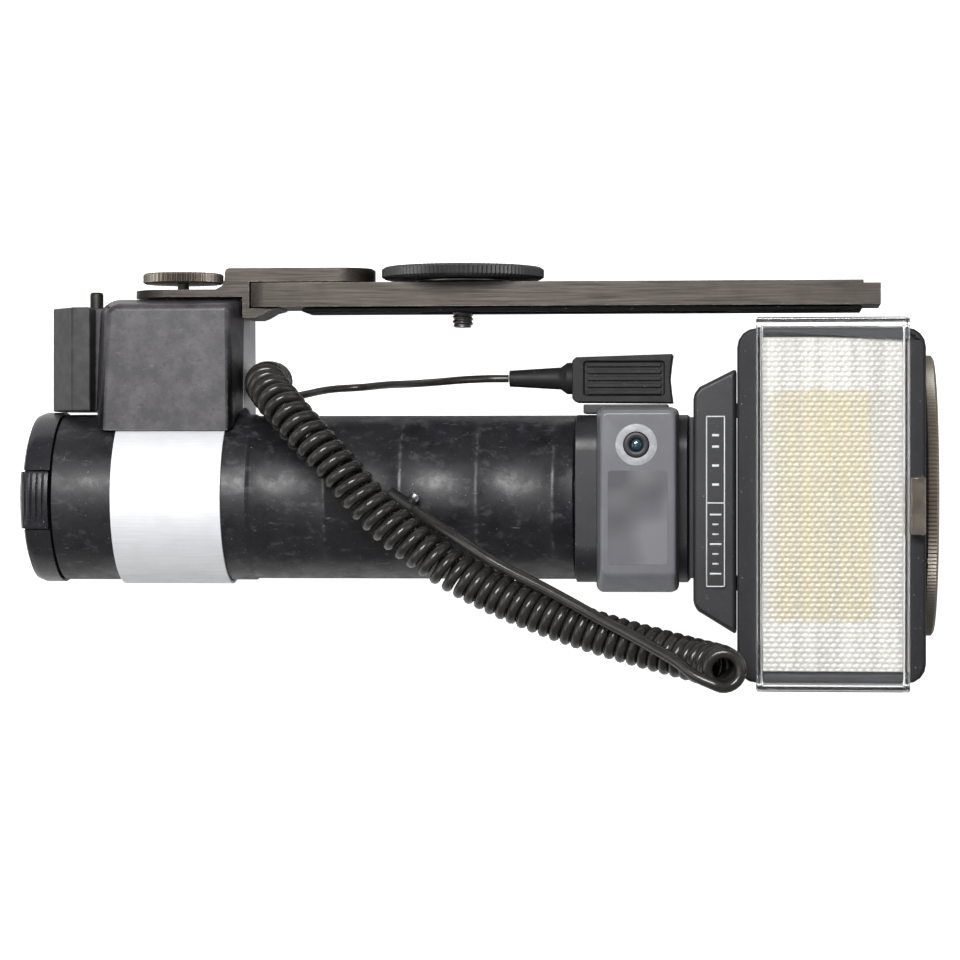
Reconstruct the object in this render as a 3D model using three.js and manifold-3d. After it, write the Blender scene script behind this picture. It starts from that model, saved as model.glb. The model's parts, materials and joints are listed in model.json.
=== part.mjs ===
// Hammerhead flash gun: a battery handle with a tilting flash head, a sensor unit, a clamped
// camera bracket stowed along the handle, and a curly sync cord lying across it.
// Millimetres. The handle's axis is X, base cover at -X and head at +X. The flash faces +Z.
import * as THREE from 'three';
import { mergeVertices } from 'three/addons/utils/BufferGeometryUtils.js';
import Module from 'manifold-3d';

const wasm = await Module();
wasm.setup();

// Driving dimensions
const LIE_ANGLE = 5;            // degrees the handle rises towards the head when it lies on its back
const SURFACE = -33.2;          // height of what the gun lies on, before the origin moves down to it
const FIT = 0.3;                // gap between parts that meet
const TUBE_R = 22.8;            // battery tube
const GRIP_R = 22.4;            // finger grip
const BORE_R = 19.4;            // inside of the handle
const TUBE_START = -114.8;
const GRIP_START = -61.1;
const GRIP_END = 27;
const FINGER_PITCH = 20.6;
const FINGER_DEPTH = 1.7;
const CELL_R = 7.1;
const CELL_LENGTH = 49.4;
const CELL_CIRCLE = 9.1;        // radius of the circle that the cells' centres lie on
const TILT = { x: 66, z: -20 }; // head hinge, an axis along Y
const HEAD = { x0: 70.8, x1: 119.4, y0: -47.9, y1: 44.1, front: 45, split: 12, r: 5 };
const WINDOW = { x0: 76.6, x1: 114.4, y0: -45, y1: 41.8 };
const DIAL_Y = 0.5;
const KNOB_X = -82.4;
const WHEEL_X = -4.7;
const RAIL = { x0: -62.1, x1: 109, y0: 51.9, y1: 58.6, half: 11 };
const SLOT = { x0: -17, x1: 68, half: 3.4 };
const CABLE_R = 1.5;
const LEAD_R = 1.05;
const COIL_R = 5.85;

const COLOURS = {
  grip: [0x2b2b2e, 0.42, 0], cover: [0x242427, 0.4, 0], block: [0x3a393c, 0.45, 0.1],
  silver: [0xb9bcc0, 0.35, 0.8], band: [0xe2e4e6, 0.3, 0.9], steel: [0x9a9a98, 0.3, 0.9],
  bronze: [0x5d5751, 0.4, 0.7], rubber: [0x1c1c1d, 0.75, 0], cord: [0x2f2e2b, 0.4, 0],
  clear: [0xe6eaea, 0.08, 0], lens: [0xe3e0cf, 0.2, 0], frosted: [0x6e7074, 0.35, 0],
  mirror: [0xd9d6c8, 0.12, 0.95], brass: [0xc0a04e, 0.35, 0.9], board: [0x2f5d3a, 0.6, 0],
  cell: [0x9c7a3c, 0.4, 0.4], can: [0x2a3c66, 0.4, 0.2],
  red: [0xa8281c, 0.25, 0], smoke: [0x80786c, 0.15, 0],
};

// ---- solids ----

function toSolid(geometry) {
  const bare = geometry.clone();
  for (const name of Object.keys(bare.attributes)) {
    if (name !== 'position') bare.deleteAttribute(name);
  }
  const merged = mergeVertices(bare, 1e-4);
  const mesh = new wasm.Mesh({
    numProp: 3,
    vertProperties: Float32Array.from(merged.attributes.position.array),
    triVerts: Uint32Array.from(merged.index.array),
  });
  return new wasm.Manifold(mesh);
}

function toGeometry(solid) {
  const mesh = solid.getMesh();
  const geometry = new THREE.BufferGeometry();
  geometry.setAttribute('position', new THREE.BufferAttribute(mesh.vertProperties, 3));
  geometry.setIndex(new THREE.BufferAttribute(mesh.triVerts, 1));
  return geometry;
}

function join(...pieces) {
  return toGeometry(pieces.map(toSolid).reduce((whole, next) => whole.add(next)));
}

function cut(body, ...cutters) {
  return toGeometry(cutters.map(toSolid).reduce((rest, next) => rest.subtract(next), toSolid(body)));
}

function common(body, keeper) {
  return toGeometry(toSolid(body).intersect(toSolid(keeper)));
}

// ---- shapes ----

function box(x0, x1, y0, y1, z0, z1) {
  const geometry = new THREE.BoxGeometry(x1 - x0, y1 - y0, z1 - z0);
  return geometry.translate((x0 + x1) / 2, (y0 + y1) / 2, (z0 + z1) / 2);
}

// A rod along X, Y or Z from one end to the other, centred at [a, b] on the two other axes in order
function rod(axis, radius, from, to, a, b, sides = 24) {
  const geometry = new THREE.CylinderGeometry(radius, radius, to - from, sides);
  const middle = (from + to) / 2;
  if (axis === 'x') return geometry.rotateZ(-Math.PI / 2).translate(middle, a, b);
  if (axis === 'z') return geometry.rotateX(Math.PI / 2).translate(a, b, middle);
  return geometry.translate(a, middle, b);
}

// A closed [radius, height] profile turned about Y
function turned(profile, sides = 32) {
  return new THREE.LatheGeometry(profile.map(([r, h]) => new THREE.Vector2(r, h)), sides);
}

// The same, turned about X: the heights run along +X
function turnedX(profile, sides = 32) {
  return turned(profile, sides).rotateZ(-Math.PI / 2);
}

function polygon(points) {
  return new THREE.Shape(points.map(([x, y]) => new THREE.Vector2(x, y)));
}

// An outline in X and Y, extruded along Z
function slab(points, z0, z1) {
  const geometry = new THREE.ExtrudeGeometry(polygon(points), { depth: z1 - z0, bevelEnabled: false });
  return geometry.translate(0, 0, z0);
}

// An outline in X and Z, extruded along Y
function plank(points, y0, y1) {
  return slab(points.map(([x, z]) => [x, -z]), y0, y1).rotateX(-Math.PI / 2);
}

function roundRect(x0, x1, y0, y1, r, steps = 4) {
  const points = [];
  const corners = [[x1 - r, y0 + r, -90], [x1 - r, y1 - r, 0], [x0 + r, y1 - r, 90], [x0 + r, y0 + r, 180]];
  for (const [cx, cy, start] of corners) {
    for (let i = 0; i <= steps; i += 1) {
      const a = THREE.MathUtils.degToRad(start + 90 * i / steps);
      points.push([cx + r * Math.cos(a), cy + r * Math.sin(a)]);
    }
  }
  return points;
}

// A solid through loops of equally many [x, y, z] points, with a flat cap at each end
function loft(loops) {
  const n = loops[0].length;
  const index = [];
  for (let i = 0; i + 1 < loops.length; i += 1) {
    for (let j = 0; j < n; j += 1) {
      const a = i * n + j;
      const b = i * n + (j + 1) % n;
      index.push(a, b, b + n, a, b + n, a + n);
    }
  }
  const last = (loops.length - 1) * n;
  for (let j = 1; j + 1 < n; j += 1) {
    index.push(0, j + 1, j, last, last + j, last + j + 1);
  }
  const geometry = new THREE.BufferGeometry();
  geometry.setAttribute('position', new THREE.Float32BufferAttribute(loops.flat(2), 3));
  geometry.setIndex(index);
  return geometry;
}

// Raises an outline to a height, which may be a function of x
function at(points, height) {
  return points.map(([x, y]) => [x, y, typeof height === 'function' ? height(x) : height]);
}

// Part of a ring about X. Angles are in degrees from +Z towards +Y, outer is a function of x and angle
function ringPart(stations, outer, inner, start, end, steps) {
  const m = steps + 1;
  const position = [];
  for (const x of stations) {
    for (let j = 0; j < m; j += 1) {
      const degrees = start + (end - start) * j / steps;
      const a = THREE.MathUtils.degToRad(degrees);
      for (const r of [outer(x, degrees), inner]) {
        position.push(x, r * Math.sin(a), r * Math.cos(a));
      }
    }
  }
  const out = (i, j) => 2 * (i * m + j);
  const inn = (i, j) => out(i, j) + 1;
  const index = [];
  const quad = (a, b, c, d) => index.push(a, b, c, a, c, d);
  const final = stations.length - 1;
  for (let i = 0; i < final; i += 1) {
    for (let j = 0; j < steps; j += 1) {
      quad(out(i, j), out(i + 1, j), out(i + 1, j + 1), out(i, j + 1));
      quad(inn(i, j), inn(i, j + 1), inn(i + 1, j + 1), inn(i + 1, j));
    }
    quad(out(i, 0), inn(i, 0), inn(i + 1, 0), out(i + 1, 0));
    quad(out(i, steps), out(i + 1, steps), inn(i + 1, steps), inn(i, steps));
  }
  for (let j = 0; j < steps; j += 1) {
    quad(out(0, j), out(0, j + 1), inn(0, j + 1), inn(0, j));
    quad(out(final, j), inn(final, j), inn(final, j + 1), out(final, j + 1));
  }
  const geometry = new THREE.BufferGeometry();
  geometry.setAttribute('position', new THREE.Float32BufferAttribute(position, 3));
  geometry.setIndex(index);
  return geometry;
}

// A round tube along a smooth curve through the route's points
function tube(route, radius, sides, steps) {
  const path = new THREE.CatmullRomCurve3(route.map((p) => new THREE.Vector3(...p)), false, 'centripetal');
  const section = polygon(Array.from({ length: sides }, (_, i) => {
    const a = 2 * Math.PI * i / sides;
    return [radius * Math.cos(a), radius * Math.sin(a)];
  }));
  return new THREE.ExtrudeGeometry(section, { steps, bevelEnabled: false, extrudePath: path });
}

// ---- the group ----

const flashGun = new THREE.Group();

function add(name, geometry, finish) {
  const [color, roughness, metalness] = COLOURS[finish];
  geometry.computeVertexNormals();
  const mesh = new THREE.Mesh(geometry, new THREE.MeshStandardMaterial({ color, roughness, metalness }));
  mesh.name = name;
  flashGun.add(mesh);
}

// ---- handle ----

// How deep the finger hollows are: parabolas between sharp ridges, on the front of the grip only
function fingerHollow(x, degrees) {
  if (x < GRIP_START) return 0;
  const along = ((x - GRIP_START) % FINGER_PITCH) / FINGER_PITCH * 2 - 1;
  const across = THREE.MathUtils.smoothstep(62 - Math.abs(degrees - 9), 0, 26);
  return FINGER_DEPTH * (1 - along * along) * across;
}

function addGrip() {
  const stations = [TUBE_START, GRIP_START - 0.6, GRIP_START];
  const perFinger = 6;
  for (let x = GRIP_START + FINGER_PITCH / perFinger; x < GRIP_END; x += FINGER_PITCH / perFinger) {
    stations.push(x);
  }
  stations.push(GRIP_END);
  const plain = (x) => (x < GRIP_START ? TUBE_R : GRIP_R);
  const front = ringPart(stations, (x, a) => plain(x) - fingerHollow(x, a), BORE_R, -90, 90, 20);
  add('grip_front_shell', front.translate(0, 0, FIT / 2), 'grip');
  const backStations = [TUBE_START, GRIP_START - 0.6, GRIP_START, GRIP_END];
  const back = ringPart(backStations, plain, BORE_R, 90, 270, 20).translate(0, 0, -FIT / 2);
  const notch = box(TUBE_START - 1, -110.4, -10.3, 10.3, -24, -18.9);
  const knuckle = join(rod('y', 1.7, -2, 2, -113.4, -21.2, 16), box(-113.4, -110, -2, 2, -22.6, -19.8));
  const hinged = join(cut(back, notch), knuckle);
  add('grip_rear_shell', cut(hinged, rod('y', 1.1, -3, 3, -113.4, -21.2, 12)), 'grip');
}

function addBatteries() {
  const plates = [-112, -59.6, -7.4];
  const spine = rod('x', 1.7, plates[0] + 0.5, plates[2] + 0.5, 0, 0, 10);
  const discs = plates.map((x) => rod('x', 18.6, x, x + 1.4, 0, 0, 30));
  add('battery_basket', join(spine, ...discs), 'cover');
  let count = 0;
  for (const start of [plates[0] + 1.7, plates[1] + 1.7]) {
    for (const degrees of [90, 210, 330]) {
      const a = THREE.MathUtils.degToRad(degrees);
      count += 1;
      const nub = start + CELL_LENGTH;
      const cell = turnedX([[0, start], [CELL_R, start], [CELL_R, nub], [2.7, nub], [2.7, nub + 1],
        [0, nub + 1]], 18);
      const place = [0, CELL_CIRCLE * Math.sin(a), CELL_CIRCLE * Math.cos(a)];
      add(`battery_${count}`, cell.translate(...place), 'cell');
    }
  }
}

function addElectronics() {
  const can = [[0, -4], [14.2, -4], [15, -3.2], [15, 41.2], [14.2, 42], [0, 42]];
  add('flash_capacitor', turnedX(can, 28), 'can');
  add('transformer', box(44.4, 53.6, -8, 8, -8, 8), 'brass');
  const chips = [box(44, 50, 3, 11, 12.5, 16.1), box(45, 51, -11, -4, 13.5, 16.1)];
  add('inverter_board', join(box(29, 54, -14, 14, 16, 17.3), ...chips), 'board');
}

function addModule() {
  const outline = roundRect(-22.9, 22.3, -23.6, 21.4, 10, 5);
  const hollow = roundRect(-19.6, 19.4, -20.6, 18.7, 8, 5);
  const outer = slab(outline, 27.3, 57.4);
  const inner = slab(hollow, 26, 54.4);
  const stand = (geometry) => geometry.rotateY(Math.PI / 2).rotateX(Math.PI / 2);
  const housing = cut(stand(outer), stand(inner));
  const button = rod('z', 2.2, -26, -19, 40.5, -11, 16);
  add('module_housing', cut(housing, button), 'cover');
  const slot = box(36.6, 39.9, 4.4, 11.6, -26, -23);
  const panel = cut(box(28.8, 45, -17, 17, -25.4, -23.9), slot, rod('z', 2.3, -26, -23, 40.5, -11, 16),
    rod('z', 1.7, -26, -23, 32.3, -11, 12), rod('z', 1.7, -26, -24.8, 33.5, 8, 12));
  add('rear_panel', panel, 'cover');
  add('ready_lamp', rod('z', 1.4, -26.2, -24.1, 32.3, -11, 14), 'red');
  add('mode_selector', turned([[0, -28.6], [5.4, -28.6], [6, -28], [6, -25.7], [0, -25.7]], 28)
    .rotateX(Math.PI / 2).translate(37, -1.5, 0), 'cover');
  add('power_switch', box(37, 39.5, 4.9, 8.4, -27.2, -24.3 - FIT), 'silver');
  add('test_button', rod('z', 1.9, -27, -22.4, 40.5, -11, 16), 'silver');
}

// ---- sensor unit, pulled forward out of the module ----

function addSensorUnit() {
  add('sensor_base', slab(roundRect(33.2, 55.2, -25, 24, 1.8), 21.8, 23), 'cover');
  const foot = roundRect(33.5, 54.8, -25.1, 24.1, 1.8);
  const face = roundRect(34.8, 54.6, -20.9, 23.1, 1.5);
  const innerFoot = roundRect(35.1, 53.2, -23.2, 22.2, 1);
  const innerFace = roundRect(36.4, 53, -19.2, 21.4, 0.8);
  const cap = loft([at(innerFace, 31.4), at(innerFoot, 23.3), at(foot, 23.3), at(foot, 25), at(face, 33)]);
  add('sensor_cap', cut(cap, rod('z', 3.4, 30, 34, 44.2, 14, 20)), 'frosted');
  add('sensor_lens', turned([[0, 29.4], [2.9, 29.4], [2.9, 33.2], [2.2, 33.7], [0, 33.9]], 20)
    .rotateX(Math.PI / 2).translate(44.2, 14, 0), 'frosted');
}

// ---- base cover ----

function addBaseCover() {
  const cup = turnedX([[0, -123], [20.6, -123], [22.6, -122.2], [23.4, -120.2], [23.4, -115.2],
    [19.6, -115.2], [19.6, -120.8], [0, -120.8]], 48);
  const gap = box(-124, -115, -8.9, 7.4, 17.6, 25);
  const ears = [];
  for (const y of [-6, 2.4]) {
    ears.push(rod('y', 1.7, y, y + 3.6, -113.4, -21.2, 16), box(-116, -113.4, y, y + 3.6, -22.6, -19.8));
  }
  const bore = rod('y', 1.1, -7, 7, -113.4, -21.2, 12);
  add('base_cover', cut(join(cut(cup, gap), ...ears), bore), 'cover');
  add('cover_hinge_pin', rod('y', 0.8, -6, 6, -113.4, -21.2, 10), 'steel');
  const ring = turnedX([[18.2, -123.4], [21.6, -123.4], [23.3, -122.6], [23.8, -121], [23.8, -115.5],
    [18.2, -115.5], [18.2, -123.4]], 48);
  const grooves = [-121.6, -120, -118.4, -116.8].map((x) => box(x - 0.35, x + 0.35, -9, 9, 22.6, 25));
  add('cover_latch', cut(common(ring, box(-124, -115, -8.5, 7, 18, 25)), ...grooves), 'rubber');
  const springs = [90, 210, 330].map((degrees) => {
    const a = THREE.MathUtils.degToRad(degrees);
    const cone = turnedX([[0, -120], [4.2, -120], [2.2, -112.6], [0, -112.6]], 10);
    return cone.translate(0, CELL_CIRCLE * Math.sin(a), CELL_CIRCLE * Math.cos(a));
  });
  add('contact_plate', join(rod('x', 16.5, -120.5, -119.8, 0, 0, 30), ...springs), 'brass');
}

// ---- flash head ----

// The back of the head is flat on the surface that the gun lies on
function backOfHead(x) {
  const a = THREE.MathUtils.degToRad(LIE_ANGLE);
  return (SURFACE - x * Math.sin(a)) / Math.cos(a);
}

function addNeck() {
  const rear = [];
  for (let i = 0; i <= 6; i += 1) {
    const a = THREE.MathUtils.degToRad(-90 + 15 * i);
    rear.push([TILT.x + 4 * Math.cos(a), TILT.z + 4 * Math.sin(a)]);
  }
  const outline = [[57.7, TILT.z - 4], ...rear, [70, 21], [57.7, 21]];
  const bore = rod('y', 2.3, -24, 24, TILT.x, TILT.z, 20);
  const wireWay = rod('x', 5, 50, 75, 0, 0, 20);
  add('neck_column', cut(plank(outline, -21.5, 21.5), bore, wireWay), 'cover');
  add('tilt_pin', rod('y', 2, -26.4, 26.4, TILT.x, TILT.z, 20), 'steel');
}

function addHeadShells() {
  const { x0, x1, y0, y1, front, split, r } = HEAD;
  const outline = roundRect(x0, x1, y0, y1, r);
  const frame = cut(slab(outline, split, front),
    box(WINDOW.x0 - FIT, WINDOW.x1 + FIT, WINDOW.y0 - FIT, WINDOW.y1 + FIT, split - 1, front + 1));
  add('head_front_frame', frame, 'cover');

  const back = roundRect(x0 + 0.2, x1 - 3, y0 + 4, y1 - 4, 6);
  const innerRim = roundRect(x0 + 2.4, x1 - 2.4, y0 + 2.4, y1 - 2.4, 3);
  const innerBack = roundRect(x0 + 2.4, x1 - 5, y0 + 6.4, y1 - 6.4, 4);
  const rim = split - FIT;
  const shell = loft([at(back, backOfHead), at(outline, -24), at(outline, rim), at(innerRim, rim),
    at(innerRim, -22), at(innerBack, (x) => backOfHead(x) + 2.6)]);
  const lugs = [];
  const bores = [];
  for (const y of [-26, 22]) {
    lugs.push(rod('y', 4.2, y, y + 4, TILT.x, TILT.z, 20), box(TILT.x, x0 + 1, y, y + 4, -24.2, -15.8));
    bores.push(rod('y', 2.3, y - 0.5, y + 4.5, TILT.x, TILT.z, 20));
  }
  add('head_rear_shell', cut(join(shell, ...lugs), ...bores), 'cover');

  const chin = [[59.1, -28.2], [60.4, -30], [70.5, -36.2], [70.5, 34.2], [60.7, 29.3], [59.1, 27.2]];
  add('head_chin', slab(chin, 22, 30), 'cover');
  add('name_plaque', slab(roundRect(62.5, 67.5, -23.5, 21.6, 0.5, 2), 30.3, 30.8), 'silver');
}

function addHeadOptics() {
  const { x0, x1, y0, y1 } = WINDOW;
  add('window_lens', box(x0, x1, y0, y1, 41.6, 43.8), 'lens');
  const mouth = roundRect(x0 + 0.2, x1 - 0.2, y0 + 0.2, y1 - 0.2, 2, 2);
  const innerMouth = roundRect(x0 + 1.2, x1 - 1.2, y0 + 1.2, y1 - 1.2, 1.4, 2);
  const waist = roundRect(x0 + 2.6, x1 - 2.6, y0 + 2.2, y1 - 2.2, 2, 2);
  const innerWaist = roundRect(x0 + 3.6, x1 - 3.6, y0 + 3.2, y1 - 3.2, 1.4, 2);
  const floor = roundRect(x0 + 9, x1 - 9, y0 + 5, y1 - 5, 2, 2);
  const innerFloor = roundRect(x0 + 10, x1 - 10, y0 + 6, y1 - 6, 1.4, 2);
  add('reflector', loft([at(floor, 15.4), at(waist, 26), at(mouth, 41.3), at(innerMouth, 41.3),
    at(innerWaist, 26), at(innerFloor, 16.6)]), 'mirror');
  const caps = [28.6, -36.6].map((y) => box(92.4, 98.4, y, y + 3.4, 17.4, 25));
  add('flash_tube', join(rod('y', 2.3, -33.8, 29.2, 95.4, 21.4, 16), ...caps), 'clear');
  const can = rod('z', 5, -4.6, 6, 86, -20, 20);
  add('trigger_board', join(box(77, 113, -38, 33, -6, -4.5), can, box(98, 108, 2, 16, -4.6, 4)), 'board');
}

function addDial() {
  const profileBase = [[0, 119.7], [29.8, 119.7], [29.8, 122.2], [0, 122.2]];
  add('dial_scale', turnedX(profileBase, 48).translate(0, DIAL_Y, 0), 'silver');
  const ring = [[30.2, 119.8], [37, 119.8], [38, 120.4], [38, 122.6], [37, 123.2], [30.2, 123.2],
    [30.2, 119.8]];
  add('dial_ring', turnedX(ring, 60).translate(0, DIAL_Y, 0), 'bronze');
}

function addDiffuser() {
  const outer = box(75.7, 115, -49.7, 46.6, 24, 52.2);
  const hollow = box(77.1, 113.6, -48.4, 44.6, 20, 50.6);
  const overHead = box(70, 121, -48.4, 44.6, 20, HEAD.front + FIT);
  add('diffuser', cut(outer, hollow, overHead), 'clear');
  add('diffuser_catch', box(115.3, 119.1, -9.4, 5.5, 45.8, 50.4), 'smoke');
}

// ---- clamp on the handle ----

function addClamp() {
  const base = [[-106, 18.2], [-65.2, 18.2], [-64.8, 54.4], [-101.2, 54.4], [-104.6, 51.6]];
  const face = [[-102.8, 18.2], [-66.2, 18.2], [-66.9, 52.6], [-98.9, 52.6], [-101, 50.6]];
  const saddle = rod('x', 24.6, -120, -50, 0, 0, 48);
  const knobHole = rod('y', 2.1, 40, 60, KNOB_X, 0, 20);
  const screwHole = rod('z', 2.4, -20, -8, -90, 40, 16);
  add('clamp_cover', cut(loft([at(base, 3.8), at(base, 5), at(face, 16.5)]), saddle, knobHole), 'block');
  const frame = [[-102.6, 18.2], [-64.9, 18.2], [-65.1, 54.2], [-97.8, 54.2], [-101, 52.2]];
  add('clamp_frame', cut(slab(frame, -18, 3.5), saddle, knobHole, screwHole), 'silver');
  const screw = join(rod('z', 2.1, -20, -9, -90, 40, 16), rod('z', 4.2, -21.4, -18.3, -90, 40, 20));
  add('clamp_screw', cut(screw, box(-95, -85, 39.5, 40.5, -22, -20.6)), 'steel');
  const bandEnd = 58;
  add('strap_band', ringPart([-98.3, -68.3], () => 23.9, 23.1, bandEnd - 296, bandEnd, 44), 'band');
  const plan = [[-104, -12], [-104, 3.4], [-106.5, 3.4], [-106.5, 10], [-111.6, 10], [-118.8, 1],
    [-118.8, -12]];
  const pinHole = rod('y', 2.2, 44, 54, -106.7, 0, 16);
  add('latch_body', cut(plank(plan, 23.6, 52.2), pinHole), 'block');
  add('release_pin', turned([[0, 46], [1.9, 46], [1.9, 56.2], [1.5, 56.7], [0, 56.7]], 16)
    .translate(-106.7, 0, 0), 'steel');
}

// ---- bracket, stowed along the handle ----

function stadium(x0, x1, half, roundLeft, roundRight) {
  const points = [];
  for (const [cx, start, round] of [[x1, -90, roundRight], [x0, 90, roundLeft]]) {
    const steps = round ? 10 : 1;
    const inset = round ? half : 0;
    const middle = start < 0 ? cx - inset : cx + inset;
    for (let i = 0; i <= steps; i += 1) {
      const a = THREE.MathUtils.degToRad(start + 180 * i / steps);
      points.push([middle + inset * Math.cos(a), half * Math.sin(a)]);
    }
  }
  return points;
}

function addBracket() {
  const side = [[-95.5, 54.8], [-64.4, 54.8], [-64.4, 49], [-61, 49], [-59.4, 49.6], [-57.2, 50.9],
    [-54.4, 51.6], [-62.5, 51.6], [-62.5, 58.9], [-28.8, 58.9], [-28.8, 62.2], [-29.6, 62.7],
    [-68.2, 62.7], [-69, 62.3], [-69.3, 61.5], [-69.4, 59.4], [-70.1, 57.8], [-71.8, 56.9],
    [-95.5, 56.9]];
  const plan = stadium(-95.5, -28.8, 9.5, true, true);
  const foot = common(slab(side, -13, 13), plank(plan, 48, 64));
  const screws = [-55, -38].map((x) => [x, turned([[0, 54], [1.6, 54], [1.6, 60.9], [3.4, 62.8],
    [0, 62.8]], 18).translate(x, 0, 0)]);
  const screwHoles = screws.map(([x]) => turned([[0, 53], [1.9, 53], [1.9, 60.8], [4.6, 63.5],
    [0, 63.5]], 18).translate(x, 0, 0));
  const knobHole = rod('y', 2.2, 50, 60, KNOB_X, 0, 20);
  add('bracket_foot', cut(foot, knobHole, ...screwHoles), 'bronze');
  screws.forEach(([, screw], i) => add(`foot_screw_${i + 1}`, screw, 'steel'));

  const bar = plank([[RAIL.x0, -9.4], [-58.2, -RAIL.half], [RAIL.x1, -RAIL.half], [RAIL.x1, RAIL.half],
    [-58.2, RAIL.half], [RAIL.x0, 9.4]], RAIL.y0, RAIL.y1);
  const endStep = box(RAIL.x1 - 4.6, RAIL.x1 + 1, RAIL.y1 - 0.8, RAIL.y1 + 1, -12, 12);
  const slot = plank(stadium(SLOT.x0, SLOT.x1, SLOT.half, true, true), 40, 70);
  add('bracket_rail', cut(bar, slot, endStep, ...screwHoles), 'bronze');
  const pad = plank([[-48, -9.6], [104, -9.6], [104, 9.6], [-48, 9.6]], 50.6, 51.6);
  add('rail_pad', cut(pad, slot), 'rubber');
  add('bracket_knob', turned([[0, 46], [1.6, 46], [1.6, 58.8], [10.6, 58.8], [11.1, 59.2],
    [11.1, 61.3], [10.6, 61.7], [0, 61.7]], 36).translate(KNOB_X, 0, 0), 'bronze');
}

function addCameraScrew() {
  const washer = turned([[3.2, 58.9], [13, 58.9], [13, 59.4], [3.2, 59.4], [3.2, 58.9]], 28);
  const lugs = [box(-8.6, -4.6, 54, 59.2, -2.9, 2.9), box(4.6, 8.6, 54, 59.2, -2.9, 2.9)];
  add('screw_carriage', join(washer, ...lugs).translate(WHEEL_X, 0, 0), 'steel');
  const wheel = [[3.3, 59.7], [21.4, 59.7], [22.3, 60.4], [22.3, 62.3], [21.4, 63], [0, 63], [0, 62.2],
    [3.3, 62.2], [3.3, 59.7]];
  add('camera_wheel', turned(wheel, 48).translate(WHEEL_X, 0, 0), 'cover');
  add('camera_stud', turned([[0, 46.6], [2.3, 46.6], [2.9, 47.2], [2.9, 61.9], [0, 61.9]], 18)
    .translate(WHEEL_X, 0, 0), 'steel');
}

// ---- sync cord ----

const CONNECTOR_TILT = THREE.MathUtils.degToRad(-34);
const LEAD_ROUTE = [[8.6, 32.2, 9.5], [3, 32.2, 9.2], [-4, 32, 6.5], [-12, 31.6, 0], [-20, 31.4, -9],
  [-28, 31.4, -18.5], [-36, 30.9, -24.5], [-44, 30.3, -22], [-50, 28.8, -14.5], [-54, 27.7, -10.8],
  [-57.8, 27.3, -9.6]];
const COIL_ROUTE = [[-58.4, 31.7, -8], [-58.4, 31.7, 1], [-57.2, 30.5, 12.5], [-52, 25.3, 22],
  [-44, 16.8, 27.8], [-34.4, 6.8, 30.9], [-25.1, -3.5, 32], [-13.4, -13.2, 32.9], [2, -22.7, 34.4],
  [19.3, -30.2, 37.2], [36.8, -36, 40.5], [51.2, -39.8, 43.8], [61, -42.1, 47.8],
  [66.4, -43.2, 53.6], [67.8, -43.8, 61]];
const TAIL_ROUTE = [[60.2, -45.2, 59.8], [55.5, -41.7, 57.4], [48.6, -37.9, 53.6], [42, -34.5, 50.3],
  [35.2, -31.2, 47.4], [27, -26.9, 44.6], [19.4, -23, 42.3], [11.3, -19.1, 40.1], [4, -15.1, 38.2],
  [-3, -10.6, 35.6], [-9.5, -7, 31.6], [-15.2, -3.4, 27.2]];

function addCord() {
  add('plug_socket', box(29.2, 52, 22.6, 25.1, 4.5, 14.5), 'rubber');
  const body = [[26.2, 26.6], [27.2, 25.6], [53.3, 25.4], [52.4, 32], [53.3, 38.6], [27.2, 37.8],
    [26.2, 36.8]];
  const relief = turnedX([[0, 8.9], [2.2, 8.9], [3.1, 23.6], [4.1, 23.9], [4.1, 27], [0, 27]], 16);
  add('cord_plug', join(slab(body, 3.8, 15.2), relief.translate(0, 32.2, 9.5)), 'rubber');
  add('cord_lead', tube(LEAD_ROUTE, LEAD_R, 8, 22), 'cord');
  add('cord_coil', tube(COIL_ROUTE, COIL_R, 12, 40), 'cord');
  add('cord_tail', tube(TAIL_ROUTE, CABLE_R, 8, 22), 'cord');
  const connector = join(rod('x', 2.1, -8, 0, 0, 0, 14), rod('y', 1.5, 0, 4.2, -1.5, 0, 12));
  connector.rotateZ(CONNECTOR_TILT).translate(-15.9, -3.3, 25.3);
  add('sync_connector', connector, 'rubber');
}

addGrip();
addBatteries();
addElectronics();
addModule();
addSensorUnit();
addBaseCover();
addNeck();
addHeadShells();
addHeadOptics();
addDial();
addDiffuser();
addClamp();
addBracket();
addCameraScrew();
addCord();

// Lay the gun on its back, then put the origin under the middle of everything but the cord
const CORD_PIECES = ['cord_plug', 'cord_lead', 'cord_coil', 'cord_tail', 'sync_connector'];
flashGun.rotation.y = -THREE.MathUtils.degToRad(LIE_ANGLE);
flashGun.updateMatrixWorld(true);
const bounds = new THREE.Box3();
for (const mesh of flashGun.children) {
  if (!CORD_PIECES.includes(mesh.name)) bounds.expandByObject(mesh, true);
}
flashGun.position.set(-(bounds.min.x + bounds.max.x) / 2, -(bounds.min.y + bounds.max.y) / 2, -bounds.min.z);

export default flashGun;
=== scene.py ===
"""Hammerhead flash gun lying on its back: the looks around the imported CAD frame.

Lengths written here are millimetres in the gun's own frame, X along the handle and Z the way the
flash faces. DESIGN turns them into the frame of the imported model.
"""

import json
import math

import bmesh
import bpy
from mathutils import Matrix, Vector

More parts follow.
